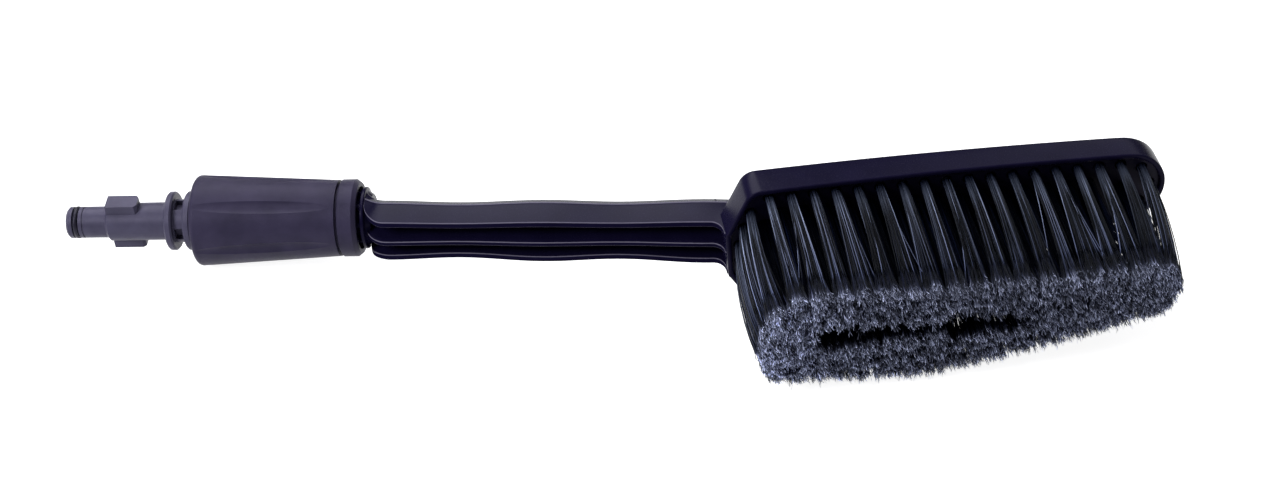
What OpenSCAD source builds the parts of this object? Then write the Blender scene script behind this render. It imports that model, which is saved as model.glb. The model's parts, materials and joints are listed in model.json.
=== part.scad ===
// Pressure-washer wheel brush: bayonet swivel adaptor, ribbed channel handle and a tapered, tufted head.
// Every module draws in the brush frame: +X runs along the bayonet axis from its nose to the brush head,
// +Z points away from the bristles, and Y is the width. lay_down() then sets the brush on its side.

/* [Bayonet spigot] */
// Radius of the sealing nose
nose_r = 6.0; // [5.5:0.1:6.6]
// Radius of the tube behind the nose
tube_r = 7.2; // [7.0:0.1:7.6]
// Length of the nose up to the tube
nose_len = 16; // [12:0.5:18]
// Radius over the two bayonet lugs
lug_r = 10.2; // [9.5:0.1:10.8]
// Width of a lug
lug_w = 6.6; // [5:0.1:7.5]
// Radius of the two stop collars
collar_r = 11.2; // [10.6:0.1:11.6]

/* [Grip sleeve] */
// Where the sleeve starts, behind the nose tip
sleeve_x = 50.4; // [50:0.1:51]
// Largest radius of the sleeve, at its front
sleeve_r1 = 17.2; // [16.6:0.1:18]
// Radius of the sleeve at its back
sleeve_r2 = 14.4; // [14.2:0.1:15]
// Number of finger flutes
flutes = 6; // [4:1:8]
// Depth of a flute at its middle
flute_depth = 0.9; // [0.4:0.1:1.1]

/* [Handle] */
// Half width of the handle before the swell
handle_half = 8.55; // [8.3:0.05:9]
// How far each finger swell stands out
swell = 0.5; // [0:0.1:0.8]
// Thickness of the handle walls
wall_t = 2.0; // [1.6:0.1:2.2]
// Depth of the side walls below the handle line
wall_drop = 13.2; // [12:0.1:14]
// Downward slope of the handle from the bayonet axis
handle_slope = 1.6; // [1:0.1:2.2]

/* [Head] */
// Angle of the head to the bayonet axis
head_tilt = 13; // [10:0.5:16]
// Largest half width of the head
head_half = 28.4; // [27:0.1:30]
// Length of the head
head_len = 165.2; // [162:0.2:166]
// Height of the skirt at the handle end
skirt_h = 12.2; // [12:0.1:13]
// Thickness of the skirt
skirt_t = 2.2; // [1.8:0.1:2.4]

/* [Bristles] */
// Distance between neighbouring tufts in a row
tuft_pitch = 8.243; // [8.1:0.01:8.4]
// Length of the bristles below the skirt
bristle_len = 53; // [40:1:60]
// Radius of a tuft where it leaves the plate
tuft_r = 2.2; // [1.8:0.1:2.2]
// Radius of a tuft at its tip
tip_r = 2.75; // [2.2:0.05:2.75]
// How far the outer tufts lean in at their tips
lean_in = 2.8; // [0:0.1:2.8]

/* [Hidden] */

charcoal = "#3d3c46";
gloss_black = "#17161f";
rubber_black = "#101012";
bristle_grey = "#3f424e";
steel = "#b5b8bd";

$fn = 64;

// Where the brush lies: it rests on the front of the sleeve, the skirt and the bristles.
lie_slope = 3.53;
lie_roll = 5.7;
centre = [207.296, -27.023, -14.021];

// Stations along the bayonet axis
bore_r = 3.0;
o_ring_x = 3.6;
o_ring_w = 1.0;
lug_x = 16.4;
lug_len = 12.1;
collar_x = 39.4;
collar_len = 2.8;
collar_bevel = 0.6;
collar_neck_r = 8.2;
second_collar_x = 46.5;
second_collar_len = 2.9;
second_neck_r = 8.6;
sleeve_corner = 1.9;
sleeve_end = 105.2;
flute_phase = 2;
flute_mid = 77.5;
ring_x = 106.3;
ring_end = 113.2;
ring_r = 14.6;
ring_mouth_r = 11.9;
seat_r = 7.5;
seat_end = 92;
body_r = 10.4;
washer_t = 0.8;
snap_x = 92.9;
snap_t = 1.8;
snap_r = 11.6;

// Neck of the handle
neck_tip = 70;
neck_r = 7.43;
neck_core_r = 7.4;
neck_rib_r = 10.1;
neck_ribs = 8;
neck_disc_x = 114.4;
neck_disc_r = 11.7;
fairing_r = 11;
neck_seal_x = [75.5, 82.5];
handle_x = 118.5;

// Handle, in its own frame that starts at handle_x and falls by handle_slope
handle_len = 133.6;
back_top = 1.4;
back_plate = 2.2;
band_top = -2.3;
chamfer_tilt = 21;
rib_drop = 14.0;
end_round = 8;
end_rise = 10;
gusset_len = 5.6;
gusset_end = -21.2;
spine_len = 75;
tube_z = -2.6;
pipe_r = 3.2;
pipe_bore_r = 2.2;
pipe_from = -6;
pipe_to = 148;

// Head, in its own frame that starts at the bottom edge of the skirt's handle end
head_x = 252;
head_z = -25;
toe_r = 16.2;
toe_s = head_len - toe_r;
shoulder_r = 6.3;
shoulder_s = 14.2;
side_bulge = 1.1;
heel_half = 10.7;
skirt_fall = 0.7;
back_t = 1.7;
plate_h1 = 1.5;
plate_h2 = 8.0;
gasket_t = 0.8;
gasket_in = 5.0;
hole_top = 7.2;
hole_r = 2.25;
anchor_h = 1.1;
trail = 1.5;
toe_lean = 2.4;
middle_lean = 1.4;
jet_s = [30, 42, 54];
jet_r = 2.0;
jet_bore_r = 0.8;

// ---- Placement ----

module lay_down() {
    translate(-centre)
        rotate([0, -lie_slope, 0])
            rotate([lie_roll - 90, 0, 0])
                children();
}

// Children drawn along +Z are turned to run along +X from station x.
module along_axis(x = 0) {
    translate([x, 0, 0]) rotate([0, 90, 0]) children();
}

module handle_frame() {
    translate([handle_x, 0, 0]) rotate([0, handle_slope, 0]) children();
}

module head_frame() {
    translate([head_x, 0, head_z]) rotate([0, -head_tilt, 0]) children();
}

module ring(x, length, outer, inner) {
    along_axis(x) difference() {
        cylinder(h = length, r = outer);
        translate([0, 0, -1]) cylinder(h = length + 2, r = inner);
    }
}

module o_ring(x, centre_r, thick_r) {
    along_axis(x) rotate_extrude() translate([centre_r, 0]) circle(r = thick_r, $fn = 32);
}

// ---- Swivel adaptor ----

module bayonet_spigot() {
    groove_r = nose_r - 1.85;
    color(charcoal) difference() {
        union() {
            along_axis() cylinder(h = 0.8, r1 = nose_r - 0.8, r2 = nose_r);
            along_axis(0.8) cylinder(h = nose_len - 0.8, r = nose_r);
            along_axis(nose_len - 0.6) cylinder(h = 1.2, r1 = nose_r, r2 = tube_r);
            along_axis(nose_len + 0.6) cylinder(h = collar_x - nose_len, r = tube_r);
            stop_collar(collar_x, collar_len);
            along_axis(collar_x + 1) cylinder(h = second_collar_x - collar_x, r = collar_neck_r);
            stop_collar(second_collar_x, second_collar_len);
            along_axis(second_collar_x + 1) cylinder(h = sleeve_x + 1 - second_collar_x, r = second_neck_r);
            along_axis(sleeve_x + 1) cylinder(h = 4, r = body_r);
            along_axis(sleeve_x + 3) cylinder(h = 4, r = 13);
            along_axis(sleeve_x + 4) cylinder(h = seat_end - sleeve_x - 4, r = body_r);
            for (side = [-1, 1]) bayonet_lug(side);
            for (side = [-1, 1]) drive_key(side);
        }
        along_axis(-1) cylinder(h = seat_end, r = bore_r);
        along_axis(neck_tip - 0.5) cylinder(h = seat_end, r = seat_r);
        along_axis(o_ring_x - 1.25) difference() {
            cylinder(h = 2.5, r = nose_r + 1);
            translate([0, 0, -1]) cylinder(h = 5, r = groove_r);
        }
        along_axis(o_ring_x + 2.6) difference() {
            cylinder(h = 0.6, r = nose_r + 1);
            translate([0, 0, -1]) cylinder(h = 3, r = nose_r - 0.35);
        }
        for (a = [0:90:270]) rotate([a, 0, 0]) collar_pocket();
    }
}

// Four of these leave webs on the neck between the two collars.
module collar_pocket() {
    from = collar_x + collar_len + 0.3;
    translate([from, -2.65, 5.6]) cube([second_collar_x - 0.3 - from, 5.3, 4]);
}

module stop_collar(x, length) {
    along_axis(x) cylinder(h = collar_bevel, r1 = collar_r - collar_bevel, r2 = collar_r);
    along_axis(x + collar_bevel) cylinder(h = length - 2 * collar_bevel, r = collar_r);
    along_axis(x + length - collar_bevel)
        cylinder(h = collar_bevel, r1 = collar_r, r2 = collar_r - collar_bevel);
}

// A bayonet lug with chamfered ends
module bayonet_lug(side) {
    translate([lug_x, 0, 0])
        rotate([90 * side, 0, 0])
            translate([0, 0, 3])
                linear_extrude(height = lug_r - 3)
                    polygon([[0, -lug_w / 2], [lug_len - 1, -lug_w / 2], [lug_len, 1 - lug_w / 2],
                        [lug_len, lug_w / 2 - 1], [lug_len - 1, lug_w / 2], [0, lug_w / 2]]);
}

// The keys make the spigot turn with the sleeve.
module drive_key(side, clearance = 0) {
    translate([sleeve_x + 3 - clearance, side * 12.6 - 1.6, -1.5 - clearance])
        cube([4 + 2 * clearance, 3.2, 3 + 2 * clearance]);
}

module nose_o_ring() {
    color(rubber_black) o_ring(o_ring_x, nose_r + 0.2 - o_ring_w, o_ring_w);
}

function sleeve_r_at(x) = sleeve_r1
    + (sleeve_r2 - sleeve_r1) * (x - sleeve_x - sleeve_corner) / (sleeve_end - sleeve_x - sleeve_corner);

module grip_sleeve() {
    corner = sleeve_corner;
    flute_r = 4.6;
    bow_r = 375;
    taper = atan((sleeve_r1 - sleeve_r2) / (sleeve_end - sleeve_x - corner));
    color(charcoal) difference() {
        along_axis() rotate_extrude() polygon(concat(
            [[11.4, sleeve_x]],
            [for (a = [90:-15:0])
                [sleeve_r1 - corner + corner * cos(a), sleeve_x + corner - corner * sin(a)]],
            [[sleeve_r2, sleeve_end], [12.95, sleeve_end], [12.95, sleeve_x + 7.2], [13.05, sleeve_x + 7.2],
                [13.05, sleeve_x + 3], [10.5, sleeve_x + 3], [10.5, sleeve_x + 1.2],
                [11.4, sleeve_x + 1.2]]));
        for (k = [0:flutes - 1]) rotate([k * 360 / flutes + flute_phase, 0, 0])
            translate([flute_mid, 0, sleeve_r_at(flute_mid) - flute_depth + flute_r])
                rotate([0, taper, 0])
                    translate([0, 0, bow_r])
                        rotate([90, 0, 0])
                            rotate_extrude($fn = 180) translate([bow_r, 0]) circle(r = flute_r, $fn = 32);
        for (side = [-1, 1]) drive_key(side, 0.05);
    }
}

module retaining_ring() {
    color(charcoal) along_axis() rotate_extrude() polygon([
        [10.6, snap_x + snap_t + 0.15], [12.95, snap_x + snap_t + 0.15], [12.95, ring_x],
        [ring_r - 0.3, ring_x], [ring_r, ring_x + 0.3], [ring_r, ring_end - 1.5],
        [ring_r - 1.2, ring_end], [ring_mouth_r, ring_end],
        [ring_mouth_r, ring_end - 4.5], [10.6, ring_end - 5.8]]);
}

module thrust_washer() {
    color(steel) ring(seat_end + 0.05, washer_t, snap_r, seat_r + 0.1);
}

// ---- Handle ----

function half_width(u) = handle_half + 0.0075 * u + swell * cos(6 * (u - 64));
function plan_edge(inset) = [for (u = [0:4:handle_len]) [u, half_width(u) - inset]];

// Outline of the handle from above, carried on past the heel by extra
module handle_plan(inset = 0, extra = 4) {
    side = concat(plan_edge(inset), [[handle_len + extra, half_width(handle_len) - inset]]);
    polygon(concat(side, [for (k = [len(side) - 1:-1:0]) [side[k][0], -side[k][1]]]));
}

// Outline of the handle from the side, drop deep, with its gusset at the head
module handle_side(drop) {
    fall = -drop - gusset_end;
    gusset_u = handle_len - gusset_len;
    polygon(concat(
        [[0, 6]],
        [for (a = [180:15:270]) [end_round + end_round * cos(a), end_rise - drop + end_rise * sin(a)]],
        [for (a = [90:-10:10]) [gusset_u + gusset_len * cos(a), gusset_end + fall * sin(a)]],
        [[handle_len, gusset_end], [handle_len + 3, gusset_end], [handle_len + 3, 6]]));
}

module side_slab(drop, from, to) {
    translate([0, to, 0]) rotate([90, 0, 0]) linear_extrude(height = to - from) handle_side(drop);
}

// Everything inside the chamfer that runs along one side of the handle's back
module inside_chamfer(side, inset, extra) {
    reach = 60;
    edge = [for (p = plan_edge(inset)) [p[0], p[1] * cos(chamfer_tilt) + band_top * sin(chamfer_tilt)]];
    last = edge[len(edge) - 1][1];
    scale([1, side, 1]) rotate([chamfer_tilt, 0, 0]) translate([0, 0, -reach])
        linear_extrude(height = 2 * reach)
        polygon(concat([[0, -reach]], edge, [[handle_len + extra, last], [handle_len + extra, -reach]]));
}

// The handle as a solid bar with a chamfered back
module bar(inset = 0, extra = 4) {
    intersection() {
        translate([0, 0, -40]) linear_extrude(height = 40 + back_top - (inset > 0 ? back_plate : 0))
            handle_plan(inset, extra);
        inside_chamfer(1, inset, extra);
        inside_chamfer(-1, inset, extra);
    }
}

module channel() {
    difference() {
        intersection() {
            bar();
            side_slab(wall_drop, -20, 20);
        }
        translate([wall_t, 0, 0]) bar(wall_t, 10);
    }
}

module neck() {
    along_axis(neck_tip) cylinder(h = 1, r1 = neck_r - 1, r2 = neck_r);
    along_axis(neck_tip + 1) cylinder(h = snap_x + snap_t + 1 - neck_tip, r = neck_r);
    along_axis(snap_x + snap_t) cylinder(h = handle_x - snap_x, r = neck_core_r);
    along_axis(neck_disc_x) cylinder(h = 1.5, r = neck_disc_r);
    for (k = [0:neck_ribs - 1]) rotate([22.5 + k * 360 / neck_ribs, 0, 0])
        translate([snap_x + snap_t + 1.5, -0.8, 5])
            cube([neck_disc_x - snap_x - snap_t, 1.6, neck_rib_r - 5]);
}

// The fairing carries the round neck into the handle's back.
module neck_fairing() {
    difference() {
        hull() {
            along_axis(neck_disc_x + 1.2) cylinder(h = 0.5, r = fairing_r, $fn = 32);
            handle_frame() intersection() {
                bar();
                translate([2.5, -20, -5]) cube([1, 40, 20]);
            }
        }
        handle_frame() translate([pipe_from - 5, 0, tube_z]) rotate([0, 90, 0])
            cylinder(h = 40, r = pipe_r + 0.02);
    }
}

module handle_body() {
    color(gloss_black) difference() {
        union() {
            neck();
            neck_fairing();
            handle_frame() {
                channel();
                difference() {
                    side_slab(rib_drop, -1.1, 1.1);
                    translate([wall_t, -2, tube_z]) cube([handle_len + 10, 4, 20]);
                }
            }
        }
        along_axis(neck_tip - 1) cylinder(h = 113 - neck_tip, r = bore_r);
        handle_frame() translate([pipe_from, 0, tube_z]) rotate([0, 90, 0])
            cylinder(h = pipe_to, r = pipe_r + 0.02);
        for (x = neck_seal_x) ring(x - 1.3, 2.6, neck_r + 1, neck_r - 1.7);
        ring(snap_x - 0.02, snap_t + 0.04, neck_r + 1, neck_r - 1.2);
        head_frame() translate([0, -40, -2]) cube([60, 80, 60]);
    }
}

module neck_snap_ring() {
    color(steel) difference() {
        ring(snap_x, snap_t, snap_r, neck_r - 1.15);
        translate([snap_x - 1, -1.5, 0]) cube([snap_t + 2, 3, 20]);
    }
}

module neck_o_rings() {
    color(rubber_black) for (x = neck_seal_x) o_ring(x, seat_r - 0.03 - 0.85, 0.85);
}

// ---- Water way ----

module water_tube() {
    color(gloss_black) handle_frame() translate([0, 0, tube_z]) difference() {
        along_axis(pipe_from + 0.2) cylinder(h = pipe_to - pipe_from - 0.4, r = pipe_r);
        along_axis(pipe_from - 1) cylinder(h = pipe_to + 10, r = pipe_bore_r);
        for (x = [pipe_from + 3, pipe_to - 4]) ring(x - 0.7, 1.4, pipe_r + 1, pipe_r - 0.75);
    }
}

module tube_o_rings() {
    color(rubber_black) handle_frame() translate([0, 0, tube_z])
        for (x = [pipe_from + 3, pipe_to - 4]) o_ring(x, pipe_r - 0.375, 0.36);
}

module water_jets() {
    color(charcoal) head_frame() for (s = jet_s) translate([s, 0, 0]) difference() {
        union() {
            translate([0, 0, plate_h1 - 2.2]) cylinder(h = 2.2, r1 = 1.3, r2 = jet_r);
            translate([0, 0, plate_h1]) cylinder(h = plate_h2 - plate_h1, r = jet_r);
            translate([0, 0, plate_h2]) cylinder(h = 0.7, r = 2.9);
        }
        translate([0, 0, -5]) cylinder(h = 20, r = jet_bore_r);
    }
}

// ---- Head ----

function shoulder_y() = head_half - shoulder_r;
function side_y(s, inset) = let (
    s1 = shoulder_s + 2,
    y1 = head_half - 0.1,
    s2 = toe_s + 1.5,
    y2 = toe_r,
    t = (s - s1) / (s2 - s1)
) y1 + (y2 - y1) * t + side_bulge * 4 * t * (1 - t) - inset;

// Half of the head's outline, from the handle end to the toe, set in by inset
function head_edge(inset) = concat(
    [[inset, heel_half - 0.27 * inset]],
    [for (a = [149.5:-9.2:85])
        [shoulder_s + (shoulder_r - inset) * cos(a), shoulder_y() + (shoulder_r - inset) * sin(a)]],
    [for (s = [shoulder_s + 14:12:toe_s - 6]) [s, side_y(s, inset)]],
    [for (a = [84:-6:0]) [toe_s + (toe_r - inset) * cos(a), (toe_r - inset) * sin(a)]]);

module head_outline(inset = 0) {
    edge = head_edge(inset);
    polygon(concat(edge, [for (k = [len(edge) - 2:-1:0]) [edge[k][0], -edge[k][1]]]));
}

// Everything above the head's back, lowered by depth
module above_back(depth = 0) {
    translate([0, 0, skirt_h - depth]) rotate([0, skirt_fall, 0]) translate([-50, -60, 0])
        cube([300, 120, 60]);
}

// The spine is the end of the handle's back, running out over the head's back.
module spine_block(inset = 0) {
    handle_frame() intersection() {
        bar(inset, spine_len);
        translate([handle_len - 20, -20, -30]) cube([spine_len + 15, 40, 60]);
    }
}

module head_shell() {
    color(gloss_black) difference() {
        union() {
            head_frame() difference() {
                linear_extrude(height = skirt_h + 1) head_outline();
                above_back();
            }
            intersection() {
                spine_block();
                head_frame() translate([0, -30, 4]) cube([90, 60, 40]);
            }
        }
        head_frame() {
            translate([0, 0, -1]) linear_extrude(height = plate_h2 + gasket_t + 1) head_outline(skirt_t);
            difference() {
                linear_extrude(height = skirt_h) head_outline(gasket_in);
                above_back(back_t);
            }
        }
        intersection() {
            spine_block(wall_t);
            head_frame() translate([16, -30, 0]) cube([60, 60, 40]);
        }
        handle_frame() translate([handle_len - 10, 0, tube_z]) rotate([0, 90, 0])
            cylinder(h = 40, r = pipe_r + 0.02);
    }
}

module plate_gasket() {
    color(rubber_black) head_frame() translate([0, 0, plate_h2]) linear_extrude(height = gasket_t)
    difference() {
        head_outline(skirt_t);
        head_outline(gasket_in);
    }
}

module tuft_plate() {
    color(gloss_black) head_frame() difference() {
        translate([0, 0, plate_h1]) linear_extrude(height = plate_h2 - plate_h1) head_outline(skirt_t);
        for (p = all_tufts()) translate([p[0], p[1], plate_h1 - 1])
            cylinder(h = hole_top - plate_h1 + 1, r = hole_r, $fn = 24);
        for (s = jet_s) translate([s, 0, 0]) cylinder(h = 20, r = jet_r);
    }
}

// ---- Tufts ----

row_slope = 5.6;
function side_row(s, y, count) =
    [for (k = [0:count - 1]) [s + k * tuft_pitch * cos(row_slope), y - k * tuft_pitch * sin(row_slope)]];
function other_side(points) = [for (p = points) [p[0], -p[1]]];

outer_side = side_row(16.7, 24.0, 17);
outer_heel = [[9.8, 18.1], [6.9, 11.6], [4.9, 3.8]];
outer_toe = [for (a = [-45, 0, 45]) [toe_s - 1 + 11.4 * cos(a), 11.4 * sin(a)]];
middle_side = side_row(20.8, 16.2, 15);
middle_heel = [[12.3, 4.0], [14.3, 11.4]];
middle_toe = [[toe_s - 1, 0]];
inner_side = side_row(25.2, 8.6, 6);
inner_heel = [[19.7, 3.8]];
centre_row = [for (k = [0:4]) [75.4 + k * tuft_pitch, 0]];

function both(points) = concat(points, other_side(points));
function all_tufts() = concat(both(outer_side), both(outer_heel), outer_toe, both(middle_side),
    both(middle_heel), middle_toe, both(inner_side), both(inner_heel), centre_row);

// How far a tuft's tip stands off its root: in towards the middle of the head, and a little to the handle
function lean(p, amount) = let (mid = [min(max(p[0], 20), 140), 0], way = mid - p, far = max(norm(way), 1))
    amount * way / far - [trail, 0];

// A tuft is one bundle of filaments, folded over its anchor at the bottom of its hole.
module tufts(points, amount = 0) {
    root = hole_top - anchor_h - plate_h1;
    reach = bristle_len + plate_h1;
    color(bristle_grey) head_frame() for (p = points) translate([p[0], p[1], plate_h1]) {
        off = lean(p, amount);
        long = norm([off[0], off[1], reach]);
        cylinder(h = root, r = tuft_r, $fn = 24);
        rotate([asin(off[1] / long), atan(-off[0] / reach), 0]) translate([0, 0, -long])
            cylinder(h = long + 1, r1 = tip_r, r2 = tuft_r - 0.25, $fn = 24);
    }
}

module anchors(points) {
    color(steel) head_frame() for (p = points)
        translate([p[0] - 1.9, p[1] - 0.25, hole_top - anchor_h]) cube([3.8, 0.5, anchor_h]);
}

lay_down() bayonet_spigot();
lay_down() nose_o_ring();
lay_down() grip_sleeve();
lay_down() retaining_ring();
lay_down() thrust_washer();
lay_down() handle_body();
lay_down() neck_snap_ring();
lay_down() neck_o_rings();
lay_down() water_tube();
lay_down() tube_o_rings();
lay_down() head_shell();
lay_down() tuft_plate();
lay_down() plate_gasket();
lay_down() water_jets();
lay_down() tufts(other_side(outer_side), lean_in);  // outer_tufts_near
lay_down() tufts(outer_side, lean_in);  // outer_tufts_far
lay_down() tufts(both(outer_heel), lean_in);  // outer_tufts_heel
lay_down() tufts(outer_toe, lean_in + toe_lean);  // outer_tufts_toe
lay_down() tufts(other_side(middle_side), middle_lean);  // middle_tufts_near
lay_down() tufts(middle_side, middle_lean);  // middle_tufts_far
lay_down() tufts(concat(both(middle_heel), middle_toe), middle_lean);  // middle_tufts_ends
lay_down() tufts(other_side(inner_side));  // inner_tufts_near
lay_down() tufts(inner_side);  // inner_tufts_far
lay_down() tufts(both(inner_heel));  // inner_tufts_heel
lay_down() tufts(centre_row);  // centre_tufts
lay_down() anchors(concat(both(outer_side), both(outer_heel), outer_toe));  // outer_anchors
lay_down() anchors(concat(both(middle_side), both(middle_heel), middle_toe));  // middle_anchors
lay_down() anchors(concat(both(inner_side), both(inner_heel), centre_row));  // inner_anchors
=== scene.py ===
import json
import math
from collections import namedtuple

import bmesh
import bpy
import numpy as np
from mathutils import Matrix, Vector


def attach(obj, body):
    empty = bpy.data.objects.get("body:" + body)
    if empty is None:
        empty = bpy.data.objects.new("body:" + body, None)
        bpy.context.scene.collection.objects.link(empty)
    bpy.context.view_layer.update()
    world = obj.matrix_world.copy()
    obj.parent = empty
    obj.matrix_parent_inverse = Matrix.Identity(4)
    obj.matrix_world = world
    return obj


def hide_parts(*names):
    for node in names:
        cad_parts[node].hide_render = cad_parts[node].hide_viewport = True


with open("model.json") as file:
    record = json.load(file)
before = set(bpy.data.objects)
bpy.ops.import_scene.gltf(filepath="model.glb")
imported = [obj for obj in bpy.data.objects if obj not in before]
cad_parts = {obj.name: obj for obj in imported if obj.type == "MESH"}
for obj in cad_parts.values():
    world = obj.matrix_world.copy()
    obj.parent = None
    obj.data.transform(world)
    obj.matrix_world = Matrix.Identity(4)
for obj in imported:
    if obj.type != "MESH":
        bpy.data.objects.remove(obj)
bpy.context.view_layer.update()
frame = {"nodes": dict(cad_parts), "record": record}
SEED = 20240611
rng = np.random.default_rng(SEED)

# ---------------------------------------------------------------- the brush's own frame
# Shapes are worked out in millimetres along the brush: x from the spigot's tip to the head, z away from the
# bristles, y across. The record's joint says where that frame lies in the row's and how its x axis slopes; the
# roll about that axis is the brush's own, from lying on its side.
JOINT = frame["record"]["behaviour"]["joints"][0]
JOINT_X = 80.0
ROLL_DEG = 5.7
AXIS = np.array(JOINT["axis"], float)
slope = math.asin(AXIS[2])
roll = math.radians(ROLL_DEG - 90)
TILT_Y = np.array([[math.cos(slope), 0, -math.sin(slope)],
                   [0, 1, 0],
                   [math.sin(slope), 0, math.cos(slope)]])
TILT_X = np.array([[1, 0, 0],
                   [0, math.cos(roll), -math.sin(roll)],
                   [0, math.sin(roll), math.cos(roll)]])
TURN = TILT_Y @ TILT_X
ORIGIN = np.array(JOINT["pos_m"], float) - AXIS * JOINT_X / 1000


def to_row(p):
    """Brush frame in millimetres to the row's frame in metres"""
    return ORIGIN + np.asarray(p, float) @ TURN.T / 1000


def to_brush(p):
    """The row's frame in metres to the brush frame in millimetres"""
    return (np.asarray(p, float) - ORIGIN) @ TURN * 1000


HEAD_X, HEAD_Z, HEAD_TILT = 252.0, -25.0, math.radians(13)
HANDLE_X, HANDLE_SLOPE = 118.5, math.radians(1.6)


def head_to_brush(p):
    """(s, y, h) along, across and above the skirt's bottom edge, to the brush frame"""
    p = np.asarray(p, float)
    c, s = math.cos(HEAD_TILT), math.sin(HEAD_TILT)
    x, z = HEAD_X + p[..., 0] * c - p[..., 2] * s, HEAD_Z + p[..., 0] * s + p[..., 2] * c
    return np.stack([x, p[..., 1], z], -1)


def brush_to_head(p):
    """The brush frame to (s, y, h) of the head"""
    p = np.asarray(p, float)
    c, s = math.cos(HEAD_TILT), math.sin(HEAD_TILT)
    x, z = p[..., 0] - HEAD_X, p[..., 2] - HEAD_Z
    return np.stack([x * c + z * s, p[..., 1], -x * s + z * c], -1)


def handle_to_brush(p):
    """(u, y, z) along, across and above the handle's middle, to the brush frame"""
    p = np.asarray(p, float)
    c, s = math.cos(HANDLE_SLOPE), math.sin(HANDLE_SLOPE)
    x, z = HANDLE_X + p[..., 0] * c + p[..., 2] * s, -p[..., 0] * s + p[..., 2] * c
    return np.stack([x, p[..., 1], z], -1)


# ---------------------------------------------------------------- camera
# Where the camera stands and how it is turned, in the brush frame; the focal length is in picture widths
CAMERA_AT = np.array([304.589, -617.384, -695.457])
CAMERA_RIGHT = np.array([0.99560058, 0.07392499, 0.05757243])
CAMERA_UP = np.array([0.01554277, -0.73622548, 0.67655781])
CAMERA_BACK = np.array([0.09240082, -0.67268651, -0.73413551])
FOCAL = 2500.18 / 1280
SENSOR = 36

cam_data = bpy.data.cameras.new("camera")
cam_data.sensor_width = SENSOR
cam_data.lens = FOCAL * SENSOR
cam_data.clip_start = 0.05
cam_data.clip_end = 20
cam = bpy.data.objects.new("camera", cam_data)
bpy.context.scene.collection.objects.link(cam)
cam_axes = TURN @ np.stack([CAMERA_RIGHT, CAMERA_UP, CAMERA_BACK], 1)
cam_matrix = Matrix([list(map(float, row)) for row in cam_axes]).to_4x4()
cam_matrix.translation = to_row(CAMERA_AT).tolist()
cam.matrix_world = cam_matrix
bpy.context.scene.camera = cam
bpy.context.scene.view_settings.view_transform = "Standard"


# ---------------------------------------------------------------- mesh helpers
def new_mesh(name, verts, faces, smooth=True):
    """An object of these vertices and faces, its normals pointing outward"""
    mesh = bpy.data.meshes.new(name)
    mesh.from_pydata([tuple(map(float, v)) for v in verts], [], [tuple(map(int, f)) for f in faces])
    mesh.update()
    obj = bpy.data.objects.new(name, mesh)
    bpy.context.scene.collection.objects.link(obj)
    bm = bmesh.new()
    bm.from_mesh(mesh)
    bmesh.ops.recalc_face_normals(bm, faces=bm.faces)
    bm.to_mesh(mesh)
    bm.free()
    mesh.polygons.foreach_set("use_smooth", [smooth] * len(mesh.polygons))
    return obj


def loft(rings):
    """Vertices and faces of a closed skin over rings of equal count"""
    n, k = len(rings), len(rings[0])
    verts = np.concatenate(rings)
    i, j = np.meshgrid(np.arange(n - 1), np.arange(k), indexing="ij")
    a, b = i * k + j, i * k + (j + 1) % k
    faces = np.stack([a, b, b + k, a + k], -1).reshape(-1, 4).tolist()
    faces += [list(range(k)), list(range((n - 1) * k, n * k))]
    return verts, faces


LATHE_SIDES = 96


def lathe(profile):
    """Rings about the bayonet axis from (x, r) pairs; the profile is a closed loop"""
    count = LATHE_SIDES
    th = np.linspace(0, 2 * np.pi, count, endpoint=False)
    rings = [np.stack([np.full(count, x), r * np.sin(th), r * np.cos(th)], 1) for x, r in profile]
    n = len(rings)
    verts = np.concatenate(rings)
    faces = []
    for i in range(n):
        a, b = i * count, (i + 1) % n * count
        faces += [[a + j, a + (j + 1) % count, b + (j + 1) % count, b + j] for j in range(count)]
    return verts, faces


SOFTEN_ANGLE = math.radians(28)


def edge_soften(obj, width, segments=3):
    """Round the edges sharper than SOFTEN_ANGLE; width in millimetres"""
    bevel = obj.modifiers.new("soft_edges", "BEVEL")
    bevel.width = width / 1000
    bevel.segments = segments
    bevel.limit_method = "ANGLE"
    bevel.angle_limit = SOFTEN_ANGLE
    bevel.harden_normals = True


# ---------------------------------------------------------------- materials
def nodes_of(mat):
    mat.use_nodes = True
    return mat.node_tree.nodes, mat.node_tree.links, mat.node_tree.nodes["Principled BSDF"]


# Painted highlight colour for the edges a mesh marks with 1
EDGE_HIGHLIGHT_TONE = (0.075, 0.070, 0.100)
PLASTIC_SHEEN = (0.8, 0.76, 1.0)
PATCH_RANGE = (0.3, 0.72)
GRAIN_DEPTH = 0.00012


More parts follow.
